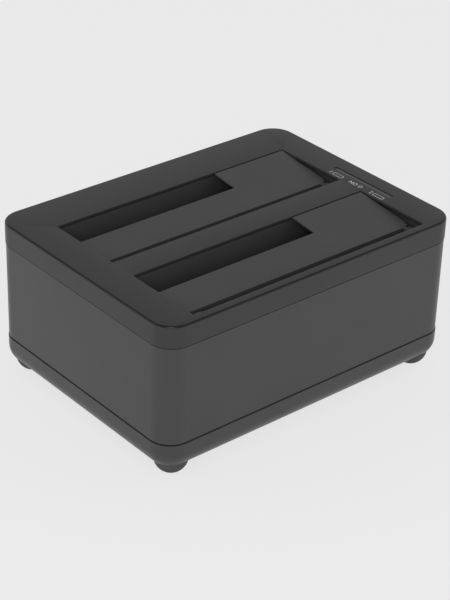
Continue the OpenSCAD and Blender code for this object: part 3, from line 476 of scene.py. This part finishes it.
# The cores run side by side from the light board down to the header, on a route in mm along X and Z
core_route = [(60.5, 56.6212), (60.5, 52.2634), (61.5, 46.2296), (61.5, 36.1733), (60, 29.1338),
              (56.0333, 24.7761), (53.3, 23.1), (50.8, 23.1)]
header_y, core_pitch = -8.95, 1.2
cores = []
for k in (-1, 0, 1):
    core = [Vector((x, header_y + core_pitch * k, z)) * MM for x, z in core_route]
    cores.append(wire("core", smooth_route(core, 8), 0.5 * MM))
grey_pvc = moulded_nylon("grey_pvc_sleeve", "#55565a", 0.5)
light_cores = join("light_cable_cores", cores, grey_pvc, "housing")
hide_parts("light_cable")


# Top cover: the lid of the case, moulded in black ABS with the two bay mouths, a rounded edge and
# a short skirt. Its marks are pad printed in grey beside the light bar.
# Its upper edge radii are darkened to 0.3 of its colour, a painted dark reflection along the rim
cover_abs = satin_abs("black_satin_cover_abs", "#39393a", 0.4, painted_edge_shade=0.3)
finish_nodes(cover_abs, "top_cover")


def flat_text(words, height, place):
    # Plain figures or letters of the given capital height in mm
    curve = bpy.data.curves.new("figure", "FONT")
    curve.body = words
    curve.size = height / 0.72 * MM
    curve.offset = 0.03 * MM
    curve.extrude = 0.01 * MM
    shape = bpy.data.objects.new("figure", curve)
    mesh = bpy.data.meshes.new_from_object(shape)
    bpy.data.objects.remove(shape)
    mesh.transform(place)
    return mesh


# Each bay's lamp has the outline of a drive and the bay's number, and the middle lamp the power sign.
# They read from the right-hand end of the dock, along its light bar.
cover_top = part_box("top_cover")[1].z
marks_x, mark_h = 57.1, 1.9


def mark_place(start, along, up):
    # A place in mm along and above the line that a mark stands on, which starts at a place on Y
    line = Matrix.Translation(Vector((marks_x * MM, start * MM, cover_top)))
    turn = Matrix.Rotation(math.radians(90), 4, "Z")
    return line @ turn @ Matrix.Translation(Vector((along, up, 0)) * MM)


marks = []
for start, number in ((-23.8, "2"), (-1.6, "1")):
    drive = bar_mark(5.2, mark_h)
    bmesh.ops.bevel(drive, geom=drive.verts[:], offset=0.3 * MM, affect="VERTICES", segments=3,
                    profile=0.5, material=-1)
    middle = drive.faces[:]
    bmesh.ops.inset_region(drive, faces=middle, thickness=0.24 * MM, use_boundary=True,
                           use_even_offset=True)
    bmesh.ops.delete(drive, geom=middle, context="FACES_ONLY")
    marks.append(printed(drive, mark_place(start, 2.6, 0.8)))
    marks.append(flat_text(number, mark_h, mark_place(start, 6, -0.15)))
power_start = -12.4
marks.append(printed(ring_mark(0.66, 0.92, 290), mark_place(power_start, 1.2, 0.7)))
marks.append(printed(bar_mark(0.26, 1), mark_place(power_start, 1.2, 1.3)))
marks.append(flat_text("ON", mark_h, mark_place(power_start, 2.9, -0.15)))
join("status_marks", marks, white_print, "housing")


# Studio: a pale sheet under the dock and soft boxes to its left, its right and by the lens. The sheet
# shows its own tone to the lens and keeps a soft shadow of the dock.
floor_mesh = bpy.data.meshes.new("studio_floor")
sheet = bmesh.new()
bmesh.ops.create_grid(sheet, x_segments=1, y_segments=1, size=6)
bmesh.ops.translate(sheet, verts=sheet.verts, vec=(0, 0, -0.1 * MM))
sheet.to_mesh(floor_mesh)
sheet.free()
floor = bpy.data.objects.new("studio_floor", floor_mesh)
bpy.context.scene.collection.objects.link(floor)


def shown(tree):
    # 1 where the lens, a mirror or a glass looks at the surround, and 0 where it lights the dock
    ray = add(tree, "LightPath").outputs
    seen = add(tree, "Math", {0: ray["Is Camera Ray"], 1: ray["Is Glossy Ray"]}, operation="MAXIMUM")
    either = add(tree, "Math", {0: seen.outputs["Value"], 1: ray["Is Transmission Ray"]},
                 operation="MAXIMUM")
    return either.outputs["Value"]


paper, tree, shader, place = new_finish("pale_studio_paper")
# Paper fibres about 1 mm long
fibre = add(tree, "TexNoise", {"Vector": place, "Scale": 1 / (1 * MM), "Detail": 2})
relief = add(tree, "Bump", {"Height": fibre.outputs["Fac"], "Strength": 0.05, "Distance": 0.02 * MM})
tree.links.new(relief.outputs["Normal"], shader.inputs["Normal"])
shader.inputs["Base Color"].default_value = linear("#ebebeb")
shader.inputs["Roughness"].default_value = 0.9
shader.inputs["Specular IOR Level"].default_value = 0
share = add(tree, "Math", {0: shown(tree), 1: 0.85}, operation="MULTIPLY")
glow = add(tree, "Emission", {"Color": linear("#eeeeee"), "Strength": 1})
blend = add(tree, "MixShader", {0: share.outputs["Value"], 1: shader.outputs["BSDF"],
                                2: glow.outputs["Emission"]})
tree.links.new(blend.outputs["Shader"], tree.nodes["Material Output"].inputs["Surface"])
floor_mesh.materials.append(paper)

world = bpy.data.worlds.new("studio")
bpy.context.scene.world = world
world.use_nodes = True
# Where it is seen or mirrored, the surround is as pale as the sheet at the horizon and darker
# overhead. As a light it is the same all round.
sky_tree = world.node_tree
sky = sky_tree.nodes["Background"]
sky.inputs["Color"].default_value = linear("#ebebeb")
direction = add(sky_tree, "TexCoord").outputs["Generated"]
height = add(sky_tree, "SeparateXYZ", {"Vector": direction}).outputs["Z"]
fade = add(sky_tree, "MapRange", {"Value": height, "From Min": 0.25, "From Max": 0.56,
                                  "To Min": 1, "To Max": 0.2})
level = add(sky_tree, "MapRange", {"Value": shown(sky_tree), "To Min": 0.75,
                                   "To Max": fade.outputs["Result"]})
sky_tree.links.new(level.outputs["Result"], sky.inputs["Strength"])
aim = Vector((0, 0, 0.03))
# Each soft box: its place and width in metres, and its power in watts
for name, spot, size, power in (("left_box", (-1.05, 0.5, 0.5), 0.9, 1.3),
                                ("right_box", (0.75, -0.95, 0.5), 0.9, 0.8),
                                ("camera_box", (-0.75, -0.85, 0.7), 0.5, 4.7)):
    lamp = bpy.data.lights.new(name, "AREA")
    lamp.size = size
    lamp.energy = power
    box = bpy.data.objects.new(name, lamp)
    box.location = spot
    box.rotation_euler = (aim - Vector(spot)).to_track_quat("-Z", "Y").to_euler()
    bpy.context.scene.collection.objects.link(box)


# Camera: the photograph's place and lens, turned a little about its own axis.
azimuth, elevation, roll = (math.radians(v) for v in (-40.827, 30.255, 1.895))
distance = 684.57 * MM
look_at = Vector((0, 0, 27.73)) * MM
back = Vector((math.sin(azimuth) * math.cos(elevation), -math.cos(azimuth) * math.cos(elevation),
               math.sin(elevation)))
right = Vector((math.cos(azimuth), math.sin(azimuth), 0))
up = back.cross(right)
right, up = (math.cos(roll) * right + math.sin(roll) * up,
             math.cos(roll) * up - math.sin(roll) * right)
camera_data = bpy.data.cameras.new("camera")
camera_data.lens = 109.011
camera = bpy.data.objects.new("camera", camera_data)
turned = Matrix((right, up, back)).transposed().to_4x4()
camera.matrix_world = Matrix.Translation(look_at + distance * back) @ turned
bpy.context.scene.collection.objects.link(camera)
bpy.context.scene.camera = camera
bpy.context.scene.view_settings.view_transform = "Standard"
